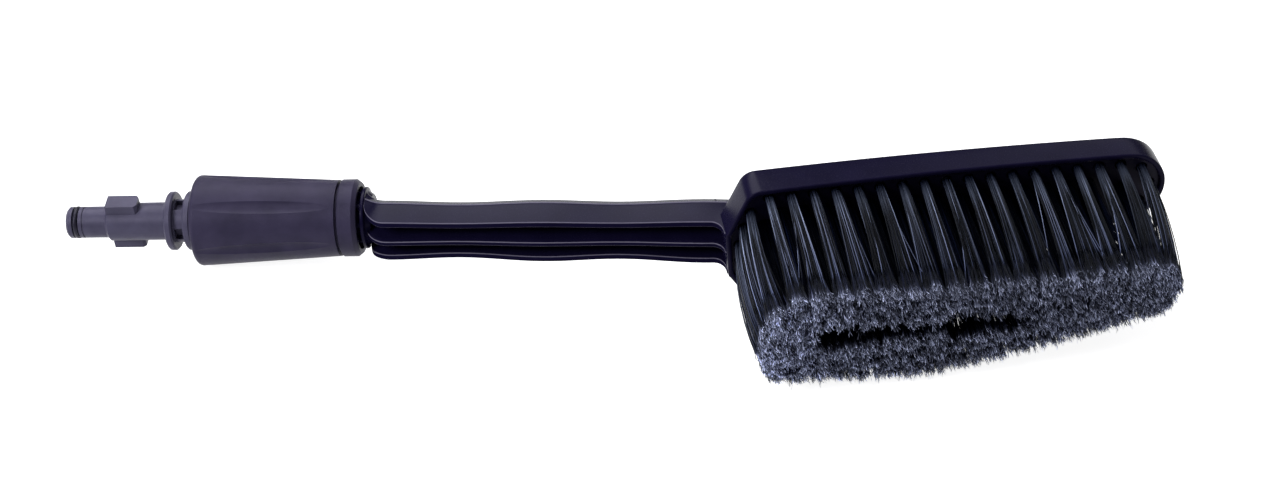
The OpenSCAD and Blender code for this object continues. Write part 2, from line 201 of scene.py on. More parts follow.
def plastic(name, dark, light, rough, grain_mm, bump, patch_mm=14.0, specular=0.5):
    """Moulded plastic: two close tones in broad patches, a fine surface grain and a little uneven gloss.
    A mesh attribute is 1 on an edge with a painted highlight, 0 elsewhere and -1 on a matt underside."""
    mat = bpy.data.materials.new(name)
    nodes, links, shader = nodes_of(mat)
    coord = nodes.new("ShaderNodeTexCoord")
    broad = nodes.new("ShaderNodeTexNoise")
    broad.inputs["Scale"].default_value = 1000 / patch_mm
    broad.inputs["Detail"].default_value = 4
    links.new(coord.outputs["Object"], broad.inputs["Vector"])
    tone = nodes.new("ShaderNodeValToRGB")
    tone.color_ramp.elements[0].position = PATCH_RANGE[0]
    tone.color_ramp.elements[0].color = (*dark, 1)
    tone.color_ramp.elements[1].position = PATCH_RANGE[1]
    tone.color_ramp.elements[1].color = (*light, 1)
    links.new(broad.outputs["Fac"], tone.inputs["Fac"])
    highlight_and_matt = nodes.new("ShaderNodeAttribute")
    highlight_and_matt.attribute_name = "highlight_and_matt"
    # Marked edges get the painted highlight colour in place of the patch tones
    edge_highlight = nodes.new("ShaderNodeMix")
    edge_highlight.data_type = "RGBA"
    edge_highlight.inputs["B"].default_value = (*EDGE_HIGHLIGHT_TONE, 1)
    edge_highlight.clamp_factor = True
    links.new(highlight_and_matt.outputs["Fac"], edge_highlight.inputs["Factor"])
    links.new(tone.outputs["Color"], edge_highlight.inputs["A"])
    links.new(edge_highlight.outputs["Result"], shader.inputs["Base Color"])
    matt = nodes.new("ShaderNodeMapRange")
    matt.inputs["From Min"].default_value = -1
    matt.inputs["From Max"].default_value = 0
    matt.inputs["To Max"].default_value = specular
    links.new(highlight_and_matt.outputs["Fac"], matt.inputs["Value"])
    links.new(matt.outputs["Result"], shader.inputs["Specular IOR Level"])
    fine = nodes.new("ShaderNodeTexNoise")
    fine.inputs["Scale"].default_value = 1000 / grain_mm
    fine.inputs["Detail"].default_value = 3
    links.new(coord.outputs["Object"], fine.inputs["Vector"])
    gloss = nodes.new("ShaderNodeMapRange")
    gloss.inputs["To Min"].default_value = rough - 0.06
    gloss.inputs["To Max"].default_value = rough + 0.08
    links.new(fine.outputs["Fac"], gloss.inputs["Value"])
    links.new(gloss.outputs["Result"], shader.inputs["Roughness"])
    relief = nodes.new("ShaderNodeBump")
    relief.inputs["Strength"].default_value = bump
    relief.inputs["Distance"].default_value = GRAIN_DEPTH
    links.new(fine.outputs["Fac"], relief.inputs["Height"])
    links.new(relief.outputs["Normal"], shader.inputs["Normal"])
    shader.inputs["Specular Tint"].default_value = (*PLASTIC_SHEEN, 1)
    return mat


def bristle(name, stops, rough, specular, span, sheen_tint):
    """Nylon filament: stops are its colours from one end (0) to the other (1), read from the mesh's along
    attribute; span is how much its tint attribute, 0 to 1, dims or brightens it"""
    mat = bpy.data.materials.new(name)
    nodes, links, shader = nodes_of(mat)
    along = nodes.new("ShaderNodeAttribute")
    along.attribute_name = "along"
    tint = nodes.new("ShaderNodeAttribute")
    tint.attribute_name = "tint"
    ramp = nodes.new("ShaderNodeValToRGB")
    ramp.color_ramp.elements.remove(ramp.color_ramp.elements[1])
    for n, (place, colour) in enumerate(stops):
        stop = ramp.color_ramp.elements[0] if n == 0 else ramp.color_ramp.elements.new(place)
        stop.position = place
        stop.color = (*colour, 1)
    links.new(along.outputs["Fac"], ramp.inputs["Fac"])
    vary = nodes.new("ShaderNodeHueSaturation")
    links.new(ramp.outputs["Color"], vary.inputs["Color"])
    spread = nodes.new("ShaderNodeMapRange")
    spread.inputs["To Min"].default_value = span[0]
    spread.inputs["To Max"].default_value = span[1]
    links.new(tint.outputs["Fac"], spread.inputs["Value"])
    links.new(spread.outputs["Result"], vary.inputs["Value"])
    links.new(vary.outputs["Color"], shader.inputs["Base Color"])
    coord = nodes.new("ShaderNodeTexCoord")
    noise = nodes.new("ShaderNodeTexNoise")
    noise.inputs["Scale"].default_value = 900
    links.new(coord.outputs["Object"], noise.inputs["Vector"])
    gloss = nodes.new("ShaderNodeMapRange")
    gloss.inputs["To Min"].default_value = rough - 0.1
    gloss.inputs["To Max"].default_value = rough + 0.15
    links.new(noise.outputs["Fac"], gloss.inputs["Value"])
    links.new(gloss.outputs["Result"], shader.inputs["Roughness"])
    shader.inputs["Specular IOR Level"].default_value = specular
    shader.inputs["Specular Tint"].default_value = (*sheen_tint, 1)
    return mat


CHARCOAL = plastic("charcoal_plastic_look", (0.0132, 0.0114, 0.0245), (0.0210, 0.0178, 0.0375), rough=0.42,
                   grain_mm=0.28, bump=0.8, patch_mm=9.0, specular=0.085)
# The spigot gets a lighter copy of the charcoal plastic
SPIGOT = plastic("lighter_charcoal_look", (0.028, 0.026, 0.045), (0.043, 0.040, 0.068), rough=0.36,
                 grain_mm=0.28, bump=0.6, patch_mm=8.0, specular=0.11)
BLACK = plastic("black_plastic_look", (0.0028, 0.0022, 0.0105), (0.0042, 0.0034, 0.0145), rough=0.25,
                grain_mm=0.5, bump=0.12, specular=0.042)
# The tuft plate is darker than the black plastic: painted shade in the recess under the rim
PLATE = plastic("tuft_plate_look", (0.0008, 0.0006, 0.005), (0.0016, 0.001, 0.008), rough=0.5,
                grain_mm=0.4, bump=0.3, specular=0.1)
RUBBER = plastic("seal_rubber_look", (0.004, 0.004, 0.008), (0.008, 0.007, 0.013), rough=0.42,
                 grain_mm=0.2, bump=0.2, specular=0.2)
STEEL = plastic("spring_steel_look", (0.40, 0.41, 0.43), (0.55, 0.56, 0.58), rough=0.3,
                grain_mm=0.15, bump=0.2)
STEEL.node_tree.nodes["Principled BSDF"].inputs["Metallic"].default_value = 1.0
# Outer rows' shafts, the inner rows' shafts painted darker as painted shade, and the split ends
# Along an outer shaft the colour is lighter just below the plate, a painted sheen, and darker at the root and
# further down, painted shade; its lightest tints are painted highlight streaks
SHAFT = bristle("bristle_shaft_look",
                stops=((0.02, (0.0025, 0.004, 0.012)), (0.10, (0.015, 0.018, 0.028)),
                       (0.35, (0.0068, 0.0079, 0.0122)), (0.8, (0.0038, 0.0046, 0.0085))),
                rough=0.2, specular=0.05, span=(0.05, 26.0), sheen_tint=(0.66, 0.76, 1.0))
# The inner rows' shafts are darker and duller than the outer ones: painted shade inside the brush
SHADED = bristle("bristle_inner_look",
                 stops=((0.02, (0.0010, 0.002, 0.008)), (0.5, (0.0010, 0.0018, 0.007)),
                        (0.8, (0.0014, 0.0022, 0.008))),
                 rough=0.4, specular=0.02, span=(0.2, 4.0), sheen_tint=(0.5, 0.62, 1.0))
FLAG = bristle("bristle_tip_look",
               stops=((0.0, (0.0022, 0.003, 0.010)), (0.6, (0.0045, 0.0055, 0.015)),
                      (0.84, (0.055, 0.062, 0.110)), (1.0, (0.52, 0.57, 0.81))),
               rough=0.45, specular=0.12, span=(0.03, 3.0), sheen_tint=(0.7, 0.8, 1.0))


def paint(obj, mat):
    obj.data.materials.clear()
    obj.data.materials.append(mat)


def piece(obj, mat, slot, body, *nodes):
    """Paint a piece, attach it to its body and hide the CAD nodes it stands for; slot is not used"""
    paint(obj, mat)
    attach(obj, body)
    if nodes:
        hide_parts(*nodes)
    return obj


SLOT_LOOKS = {"charcoal_plastic": CHARCOAL, "black_plastic": BLACK, "seal_rubber": RUBBER, "spring_steel": STEEL,
              "bristle_nylon": SHAFT}
NODE_LOOKS = {"tuft_plate": PLATE, "bayonet_spigot": SPIGOT}
for part in frame["record"]["subparts"]:
    for material_slot in frame["nodes"][part["node"]].material_slots:
        material_slot.material = NODE_LOOKS.get(part["node"], SLOT_LOOKS[part["material_slot"]])

# ---------------------------------------------------------------- handle
# In its own frame: u from the neck's end to the head, y across, z above the handle's middle line
HANDLE_START, HANDLE_LEN = -2.2, 133.6
BACK_TOP, BACK_T, BAND_TOP = 1.4, 2.2, -2.3
WALL_T, WALL_DROP = 2.0, -13.4
RIB_HALF, RIB_DROP = 0.95, -14.8
DRAFT, EDGE_R = 0.3, 0.4
CHAMFER = math.tan(math.radians(21)) * (BACK_TOP - BAND_TOP)
# Two finger swells widen the handle and lower its walls, one wave in 60 mm, widest at SWELL_AT
HALF_WIDTH, TAPER = 8.55, 0.0075
SWELL_SIDE, SWELL_DROP, SWELL_DEG_MM, SWELL_AT = 0.5, 0.3, 6, 64
# At the neck it flares over its first millimetres and its bottom edges round up
FLARE, FLARE_END = 2.3, 4.5
END_ROUND, END_RISE = 6.5, 9.0
# At the head the walls run down in gussets
GUSSET_LEN, GUSSET_END = 5.6, -21.2


def swell(u):
    return math.cos(math.radians(SWELL_DEG_MM * (u - SWELL_AT)))


def half_width(u):
    flare = FLARE * max(0.0, (FLARE_END - u) / (FLARE_END - HANDLE_START)) ** 2
    return HALF_WIDTH + TAPER * u + SWELL_SIDE * swell(u) + flare


def moulding_line(w):
    """The fine raised line where the chamfer meets the side"""
    return [(w - 0.22, BAND_TOP + 0.55), (w - 0.02, BAND_TOP + 0.38), (w + 0.14, BAND_TOP + 0.2),
            (w + 0.18, BAND_TOP), (w + 0.12, BAND_TOP - 0.22), (w, BAND_TOP - 0.4), (w, BAND_TOP - 1.0)]


def back_top(w):
    """The back's outline, from its middle to below its rounded edge"""
    return [(0, BACK_TOP + 0.12), (w * 0.5, BACK_TOP + 0.06), (w - CHAMFER - 1.0, BACK_TOP),
            (w - CHAMFER - 0.3, BACK_TOP - 0.12), (w - CHAMFER + 0.12, BACK_TOP - 0.6)]


def bottom(u, drop):
    """Lowest z of a wall or rib: it rounds up into the neck and runs down in a gusset at the head"""
    drop -= SWELL_DROP * swell(u)
    if u < END_ROUND:
        t = min(1.0, (END_ROUND - u) / (END_ROUND - HANDLE_START))
        return drop + END_RISE * (1 - math.sqrt(1 - t * t))
    t = (u - (HANDLE_LEN - GUSSET_LEN)) / GUSSET_LEN
    if t > 0:
        return drop + (GUSSET_END - drop) * (1 - math.sqrt(max(0, 1 - min(t, 0.98) ** 2)))
    return drop


def corner(y, z, r, start, end):
    """Arc of radius r about (y, z); angles in degrees from +y towards -z"""
    return [(y + r * math.cos(a), z - r * math.sin(a)) for a in np.radians(np.linspace(start, end, 6))]


# Painted highlight round an edge, from the face beside it to the matt underside
EDGE_HIGHLIGHT_AND_MATT = [0, 1, 1, 1, 0.4, -1]
# Half height of the painted highlight along the moulding line
LINE_HALF = 0.35


def handle_section(u):
    """One side's outline of the handle's channel section, back centre to rib centre: (y, z, mark) points, the mark 1
    for a painted highlight, 0 plain and -1 matt
    """
    w = half_width(min(u, HANDLE_LEN))
    zw, zr = bottom(u, WALL_DROP), bottom(u, RIB_DROP)
    inner, ceiling = w - WALL_T, BACK_TOP - BACK_T
    foot = DRAFT * min(1.0, (BAND_TOP - zw) / 10)
    outside, inside = w + foot, inner - 0.6 * foot
    r = EDGE_R
    top = back_top(w) + moulding_line(w)
    # The moulding line gets the painted highlight
    pts = [(y, z, 1 if abs(z - BAND_TOP - 0.1) < LINE_HALF else 0) for y, z in top]
    pts += [(*p, f) for p, f in zip(corner(outside - r, zw + r, r, 0, 90), EDGE_HIGHLIGHT_AND_MATT)]
    pts += [(*p, f) for p, f in zip(corner(inside + r, zw + r, r, 90, 180), EDGE_HIGHLIGHT_AND_MATT[::-1])]
    pts += [(inner + 0.05, ceiling - 1.0, 0), (inner - 0.3, ceiling - 0.25, 0), (inner - 1.0, ceiling, 0)]
    pts += [(RIB_HALF + 0.9, ceiling, 0), (RIB_HALF + 0.25, ceiling - 0.25, 0), (RIB_HALF, ceiling - 0.9, 0)]
    pts += [(*p, f) for p, f in zip(corner(RIB_HALF - r, zr + r, r, 0, 90), EDGE_HIGHLIGHT_AND_MATT)]
    pts += [(0, zr, -1)]
    return pts


def full(side):
    """A whole outline from its half of (y, z, ...) points: the other half is its mirror image"""
    return side + [(-point[0], *point[1:]) for point in side[-2:0:-1]]


def handle_ring(u):
    """(x, y, z, painted highlight and matt mark) of the section at u, in the brush frame"""
    ring = full(handle_section(u))
    return np.column_stack([handle_to_brush([(u, y, z) for y, z, _ in ring]), [f for _, _, f in ring]])


stations = (list(HANDLE_START + 8.6 * np.linspace(0, 1, 15) ** 1.6) + list(np.arange(7.5, 127.5, 1.5))
            + list(np.linspace(128, HANDLE_LEN - 0.1, 10)) + [HANDLE_LEN + 0.9])
verts, faces = loft([handle_ring(u) for u in stations])
handle = new_mesh("handle_channel", to_row(verts[:, :3]), faces)
# Marks for painted edge highlights and matt undersides, read by the plastic look
highlight_and_matt = handle.data.attributes.new("highlight_and_matt", "FLOAT", "POINT")
highlight_and_matt.data.foreach_set("value", verts[:, 3].astype(np.float32))
piece(handle, BLACK, "black_plastic", "brush", "handle_body")


# The front block closes the channel and blends the handle's outline into the round neck.
FRONT_U, FRONT_DROP = 3.0, -3.2


def front_outline():
    w, zb = half_width(FRONT_U), FRONT_DROP
    return [(0, BACK_TOP + 0.1), (w - CHAMFER - 0.6, BACK_TOP), (w - CHAMFER + 0.1, BACK_TOP - 0.6),
            (w - 0.1, BAND_TOP), (w, BAND_TOP - 1.0), (w, zb + 2.2), (w - 0.7, zb + 0.6), (w - 2.2, zb), (0, zb)]


def distance_to(loop, centre, angles):
    """Distance from the centre to the closed loop in each direction; angle 0 is +z, a quarter turn is +y"""
    loop = np.array(loop, float) - centre
    ends = np.roll(loop, -1, 0) - loop
    out = []
    for a in angles:
        ray = np.array([math.sin(a), math.cos(a)])
        cross = ray[0] * ends[:, 1] - ray[1] * ends[:, 0]
        cross = np.where(np.abs(cross) < 1e-12, 1e-12, cross)
        far = (loop[:, 0] * ends[:, 1] - loop[:, 1] * ends[:, 0]) / cross
        part = (loop[:, 0] * ray[1] - loop[:, 1] * ray[0]) / cross
        out.append(max(far[(part >= -1e-9) & (part <= 1 + 1e-9)]))
    return np.array(out)


FRONT_SIDES, FRONT_STEPS, FRONT_EASE = 72, 17, 1.7
DISC_X, DISC_R = 114.4, 11.7
FRONT_R, FRONT_END = 10.9, 121.2
FRONT_MIDDLE = np.array([0, -0.9])
angles = np.linspace(0, 2 * np.pi, FRONT_SIDES, endpoint=False)
handle_r = distance_to(full(front_outline()), FRONT_MIDDLE, angles)
rings = []
for t in np.linspace(0, 1, FRONT_STEPS):
    blend = 1 - (1 - t) ** FRONT_EASE
    x = DISC_X + 1.4 + t * (FRONT_END - DISC_X - 1.4)
    r = (1 - blend) * FRONT_R + blend * handle_r
    fall = (x - HANDLE_X) * math.tan(HANDLE_SLOPE) * blend
    y, z = r * np.sin(angles), r * np.cos(angles) + blend * FRONT_MIDDLE[1] - fall
    rings.append(np.stack([np.full(FRONT_SIDES, x), y, z], 1))
verts, faces = loft(rings)
front = new_mesh("handle_front", to_row(verts), faces)
edge_soften(front, 0.4)
piece(front, BLACK, "black_plastic", "brush")

# The neck: a tube that runs on into the adaptor's bore, and a disc with a rounded rim
verts, faces = lathe([(70, 6.4), (71, 7.43), (113.0, 7.43), (113.9, 8.2), (DISC_X, DISC_R - 0.3),
                      (DISC_X + 0.25, DISC_R - 0.05), (DISC_X + 0.7, DISC_R), (DISC_X + 1.2, DISC_R - 0.05),
                      (DISC_X + 1.5, DISC_R - 0.4), (DISC_X + 1.7, DISC_R - 1.4), (118, 8.8), (118, 3.0), (70, 3.0)])
neck = new_mesh("handle_neck", to_row(verts), faces)
edge_soften(neck, 0.15, 2)
piece(neck, BLACK, "black_plastic", "brush")

# Eight ribs along the neck, up to the disc
RIB_COUNT, RIB_FROM, RIB_TO = 8, 96.5, DISC_X + 0.5
RIB_WIDE, RIB_FOOT, RIB_HIGH = 1.6, 7.0, 3.1
bm = bmesh.new()
for k in range(RIB_COUNT):
    a = math.radians(22.5 + 45 * k)
    for v in bmesh.ops.create_cube(bm, size=1.0)["verts"]:
        x = RIB_FROM + (v.co.x + 0.5) * (RIB_TO - RIB_FROM)
        y, z = v.co.y * RIB_WIDE, RIB_FOOT + (v.co.z + 0.5) * RIB_HIGH
        v.co = to_row([x, y * math.cos(a) + z * math.sin(a), -y * math.sin(a) + z * math.cos(a)]).tolist()
mesh = bpy.data.meshes.new("neck_ribs")
bm.to_mesh(mesh)
bm.free()
ribs = bpy.data.objects.new("neck_ribs", mesh)
bpy.context.scene.collection.objects.link(ribs)
edge_soften(ribs, 0.3)
piece(ribs, BLACK, "black_plastic", "brush")

# ---------------------------------------------------------------- head shell
HEAD_LEN, HEAD_HALF, HEEL_HALF = 165.2, 28.4, 10.7
TOE_R = 16.2
TOE_S = HEAD_LEN - TOE_R
SHOULDER_R, SHOULDER_S, SHOULDER_FROM_DEG, SHOULDER_TO_DEG = 6.8, 13.8, 149.5, 86
SIDE_STEPS, SIDE_BULGE = 34, 1.1
SKIRT_H, SKIRT_FALL = 12.2, math.tan(math.radians(0.7))
BACK_H = SKIRT_H + 1.2
HEAD_MIDDLE = np.array([80.0, 0.0])


def head_side():
    """Half the head's outline, (s, y), from the heel's middle by the shoulder to the toe"""
    heel_s, heel_y = 0.8, HEEL_HALF + 0.4
    pts = [(0.0, 0.0), (0.0, HEEL_HALF * 0.55), (0.0, HEEL_HALF - 1.0), (0.25, HEEL_HALF - 0.35), (heel_s, heel_y)]
    shoulder_y = HEAD_HALF - SHOULDER_R
    first = math.radians(SHOULDER_FROM_DEG)
    sx = SHOULDER_S + SHOULDER_R * math.cos(first)
    sy = HEAD_HALF - SHOULDER_R + SHOULDER_R * math.sin(first)
    for t in (0.2, 0.4, 0.6, 0.8):
        pts.append((heel_s + (sx - heel_s) * t, heel_y + (sy - HEEL_HALF - 0.4) * t))
    for a in np.radians(np.linspace(SHOULDER_FROM_DEG, SHOULDER_TO_DEG, 12)):
        pts.append((SHOULDER_S + SHOULDER_R * math.cos(a), shoulder_y + SHOULDER_R * math.sin(a)))
    s1, y1, s2, y2 = SHOULDER_S + 2, HEAD_HALF - 0.1, TOE_S + 1.5, TOE_R
    for s in np.linspace(SHOULDER_S + 6, TOE_S - 1, SIDE_STEPS):
        t = (s - s1) / (s2 - s1)
        pts.append((s, y1 + (y2 - y1) * t + SIDE_BULGE * 4 * t * (1 - t)))
    for a in np.radians(np.linspace(82, 0, 22)):
        pts.append((TOE_S + TOE_R * math.cos(a), TOE_R * math.sin(a)))
    return pts


side = head_side()
outline = np.array(side + [(s, -y) for s, y in side[-2:0:-1]])
ahead, behind = np.roll(outline, -1, 0), np.roll(outline, 1, 0)
tangent = ahead - behind
tangent /= np.linalg.norm(tangent, axis=1, keepdims=True)
normal = np.stack([-tangent[:, 1], tangent[:, 0]], 1)
if (normal * (outline - outline.mean(0))).sum() < 0:
    normal = -normal


def head_ring(inset, h, top=False):
    """The outline drawn in by inset, h above the skirt's bottom edge, or above the back's edge when top"""
    p = outline - normal * inset
    height = h + (BACK_H - p[:, 0] * SKIRT_FALL if top else 0)
    return head_to_brush(np.stack([p[:, 0], p[:, 1], np.broadcast_to(height, p[:, 0].shape)], 1))


def head_cap(scale, h):
    """A ring of the head's back, drawn in from its edge towards the middle"""
    p = HEAD_MIDDLE + (outline - normal * 2.0 - HEAD_MIDDLE) * scale
    return head_to_brush(np.column_stack([p, h + BACK_H - p[:, 0] * SKIRT_FALL]))


# Up the skirt's inside, round its lip, up the outside and over the back
rings = [head_ring(2.2, 7.0), head_ring(2.1, 0.9), head_ring(1.95, 0.35), head_ring(1.6, 0.06), head_ring(1.1, 0.0),
         head_ring(0.4, 0.0), head_ring(0.14, 0.1), head_ring(0.03, 0.35), head_ring(0.0, 0.9),
         head_ring(0.05, -4.5, True), head_ring(0.1, -1.7, True), head_ring(0.22, -1.0, True),
         head_ring(0.62, -0.38, True), head_ring(1.2, -0.08, True), head_ring(2.0, 0.0, True),
         head_cap(0.95, 0.04), head_cap(0.8, 0.08)]
verts, faces = loft(rings)
shell = new_mesh("head_shell_skin", to_row(verts), faces)
piece(shell, BLACK, "black_plastic", "brush", "head_shell")

# The spine carries the handle's back out over the head; what would reach below the skirt's middle is cut off.
SPINE_FROM, SPINE_TO, SPINE_STEPS = HANDLE_LEN - 7.5, HANDLE_LEN + 62, 24
SPINE_FOOT, SPINE_LOW, SPINE_LEFT = -9.0, 6, 0.3
w = half_width(HANDLE_LEN)
spine_side = back_top(w) + [(w - 0.28, BAND_TOP + 0.75), (w - 0.06, BAND_TOP + 0.1), (w, BAND_TOP - 0.7),
                            (w, SPINE_FOOT), (0, SPINE_FOOT)]
rings = [handle_to_brush([(u, y, z) for y, z in full(spine_side)])
         for u in np.linspace(SPINE_FROM, SPINE_TO, SPINE_STEPS)]
verts, faces = loft(rings)
head_local = brush_to_head(verts)
head_local[:, 2] = np.maximum(head_local[:, 2], SPINE_LOW)
head_local[:, 0] = np.maximum(head_local[:, 0], SPINE_LEFT)
spine = new_mesh("head_spine", to_row(head_to_brush(head_local)), faces)
piece(spine, BLACK, "black_plastic", "brush")


# ---------------------------------------------------------------- bristles
def islands(node):
    """Each tuft of a CAD node: its root's and its tip's centre in the head's own frame"""
    me = frame["nodes"][node].data
    co = np.empty(len(me.vertices) * 3)
    me.vertices.foreach_get("co", co)
    co = co.reshape(-1, 3)
    world = np.array(frame["nodes"][node].matrix_world)
    co = co @ world[:3, :3].T + world[:3, 3]
    keys, inverse = np.unique(np.round(co, 6), axis=0, return_inverse=True)
    inverse = inverse.ravel()
    parent = list(range(len(keys)))

    def find(i):
        while parent[i] != i:
            parent[i] = parent[parent[i]]
            i = parent[i]
        return i

    for e in me.edges:
        a, b = find(inverse[e.vertices[0]]), find(inverse[e.vertices[1]])
        if a != b:
            parent[a] = b
    label = np.array([find(i) for i in range(len(keys))])
    local = brush_to_head(to_brush(keys))
    found = []
    for i in np.unique(label):
        p = local[label == i]
        root, tip = p[p[:, 2] > p[:, 2].max() - 0.05], p[p[:, 2] < p[:, 2].min() + 0.6]
        found.append((root.mean(0), tip.mean(0)))
    return sorted(found, key=lambda t: (round(t[0][0], 2), round(t[0][1], 2)))


def tubes(name, paths, radii, sides, along, tint):
    """One closed thin tube per path; paths (n, k, 3) and radii (n, k) in metres, along and tint for the look"""
    n, k, _ = paths.shape
    t = np.gradient(paths, axis=1)
    t /= np.linalg.norm(t, axis=2, keepdims=True) + 1e-12
    ref = rng.normal(size=(n, 1, 3))
    a = np.cross(t, ref)
    a /= np.linalg.norm(a, axis=2, keepdims=True) + 1e-12
    b = np.cross(t, a)
    th = np.linspace(0, 2 * np.pi, sides, endpoint=False)
    ring = (paths[:, :, None] + radii[:, :, None, None] * (
        a[:, :, None] * np.cos(th)[:, None] + b[:, :, None] * np.sin(th)[:, None]))
    verts = ring.reshape(-1, 3)
    s, i, j = np.meshgrid(np.arange(n), np.arange(k - 1), np.arange(sides), indexing="ij")
    base = s * k * sides + i * sides
    quads = np.stack([base + j, base + (j + 1) % sides, base + sides + (j + 1) % sides, base + sides + j], -1)
    quads = quads.reshape(-1, 4)
    start = np.arange(n)[:, None] * k * sides + np.arange(sides)[::-1]
    end = np.arange(n)[:, None] * k * sides + (k - 1) * sides + np.arange(sides)
    caps = np.concatenate([start, end])
    mesh = bpy.data.meshes.new(name)
    mesh.vertices.add(len(verts))
    mesh.vertices.foreach_set("co", verts.ravel())
    loops = np.concatenate([quads.ravel(), caps.ravel()])
    sizes = np.concatenate([np.full(len(quads), 4), np.full(len(caps), sides)])
    mesh.loops.add(len(loops))
    mesh.loops.foreach_set("vertex_index", loops)
    mesh.polygons.add(len(sizes))
    mesh.polygons.foreach_set("loop_start", np.r_[0, np.cumsum(sizes)[:-1]])
    mesh.polygons.foreach_set("use_smooth", np.ones(len(sizes), bool))
    for key, value in (("along", along), ("tint", tint)):
        attr = mesh.attributes.new(key, "FLOAT", "POINT")
        attr.data.foreach_set("value", np.repeat(value.ravel(), sides).astype(np.float32))
    mesh.update(calc_edges=True)
    mesh.validate()
    obj = bpy.data.objects.new(name, mesh)
    bpy.context.scene.collection.objects.link(obj)
    return obj


def disc(n, radius):
    """Random points spread evenly over a disc"""
    a, r = rng.uniform(0, 2 * np.pi, n), radius * np.sqrt(rng.uniform(0, 1, n))
    return np.stack([r * np.cos(a), r * np.sin(a)], 1)


# Heights in the head's frame, in millimetres: where filaments leave the plate, where they end, and how long the
# split part is
ROOT_H, TIP_H, FLAG_LEN = 3.0, -53.0, 6.5
SHAFT_POINTS = 7
SHAFT_LOWEST, END_LOWEST = 0.0006, 0.0005
# Tufts near the toe are fuller; s where that starts in the outer and in the other rows
CROWD, OUTER_CROWD_S, INNER_CROWD_S = 1.5, 122, 110
# How far the far side's tips are pressed outward, in millimetres, at stations along the head
LAID_S = (4, 14, 24, 42, 62, 122, 138)
LAID_Y = (0, -6.5, -4, 0, 5, 6, 2.2)
# Share of stray filaments, and of filaments that cross over to a neighbouring tuft on the near side
STRAY, STRAY_SPREAD = 0.03, 1.8
CROSSING, CROSSING_ROW, CROSSING_REACH = 0.012, "outer_near", (3, 7)
# The centre row's tufts stand back from the others by this much, at these stations
SHORT_ROW, SHORT_S, SHORT_BY = "centre", (75, 105), (7, 0)
# Painted sheen: brightness of a shaft near the plate, where filaments lie together and shine as one, and how soon
# they differ
ROOT_SHEEN, APART_FROM, APART_TO = 0.06, 0.08, 0.35
# How much lighter or darker the filaments are made at stations along the head: lighter at the heel, darker towards
# the toe
LIGHTNESS_S, LIGHTNESS = (-15, 8, 30, 60), (1.35, 1.08, 0.9, 0.8)


def smooth(x, lo, hi):
    t = np.clip((x - lo) / (hi - lo), 0, 1)
    return t * t * (3 - 2 * t)


def outward(root):
    """Direction across the head, away from its middle line"""
    away = root[:2] - [min(max(root[0], 20), 140), 0]
    return away / max(np.linalg.norm(away), 1)


def laid(tip):
    """How the weight of the head has pressed a tuft as it lies on the floor: its tip along the head and across
    it, and its middle along the head"""
    far = np.clip(tip[1] / 20, 0, 1)
    aside = 2.2 * smooth(tip[0], 25, 70) + far * np.interp(tip[0], LAID_S, LAID_Y)
    heel = -3.8 * smooth(-tip[0], -16, 0) - 2.0 * far * smooth(-tip[0], -24, -4)
    toe = smooth(tip[0], 140, 160)
    return heel - 2.2 * toe, aside, 0.9 * heel + 1.1 * toe


def lightness_along(s):
    return np.interp(s, LIGHTNESS_S, LIGHTNESS)


def strand_path(p0, lateral, drop, bow, ts, early):
    """Points at ts along each filament: it takes the share early of its way aside evenly, the rest near its end"""
    t = np.asarray(ts)[None, :, None]
    ease = early * t + (1 - early) * t * t
    return p0[:, None] + lateral[:, None] * ease + drop[:, None] * t + bow[:, None] * (t * (1 - t) * 4)


# A row of tufts: its CAD node, filaments a tuft, sides of a filament, radius of the tuft's foot, how early its
# filaments part, their spread at the tips and how many times more of it along the head, ends of a filament, look
Row = namedtuple("Row", "name node count sides root_r early fan wide splits look")


def tuft(row, root, tip):
    """A tuft's filaments: where each starts and ends, how it bows, and how light it is"""
    crowd = CROWD if root[0] > (OUTER_CROWD_S if row.look is SHAFT else INNER_CROWD_S) else 1.0
    n = int(row.count * crowd)
    r = disc(n, row.root_r)
    spread = (r / row.root_r * row.fan * (0.55 + 0.45 * crowd) * rng.uniform(0.7, 1.1, (n, 1))
              + rng.normal(0, 0.5, (n, 2))) * [row.wide, 1]
    # Most filaments stay dark and a few get a far lighter tint: painted highlight streaks on single filaments
    tone = rng.uniform(0, 1, n) ** 6
    stray = rng.uniform(size=n) < STRAY
    spread[stray] += rng.normal(0, STRAY_SPREAD, (int(stray.sum()), 2))
    crossing = rng.uniform(size=n) < (CROSSING if row.name == CROSSING_ROW else 0)
    crossings = int(crossing.sum())
    spread[crossing, 0] += rng.choice([-1, 1], crossings) * rng.uniform(*CROSSING_REACH, crossings)
    # Crossing filaments get the lightest tint, a painted highlight
    tone[crossing] = 1
    out = outward(root)
    over = np.maximum(spread @ out, 0)
    spread -= np.outer(over * 0.42, out)
    back, aside, bulge = laid(tip)
    short = np.interp(tip[0], SHORT_S, SHORT_BY) if row.name == SHORT_ROW else 0
    p0 = np.column_stack([root[0] + r[:, 0], root[1] + r[:, 1], np.full(n, ROOT_H)])
    p1 = np.column_stack([tip[0] + spread[:, 0] + back, tip[1] + spread[:, 1] + aside,
                          TIP_H + short + rng.normal(0, 0.75, n)])
    bow = rng.normal(0, 0.25, (n, 3)) * [1, 1, 0] + [bulge, 0, 0]
    return p0, p1, bow, tone


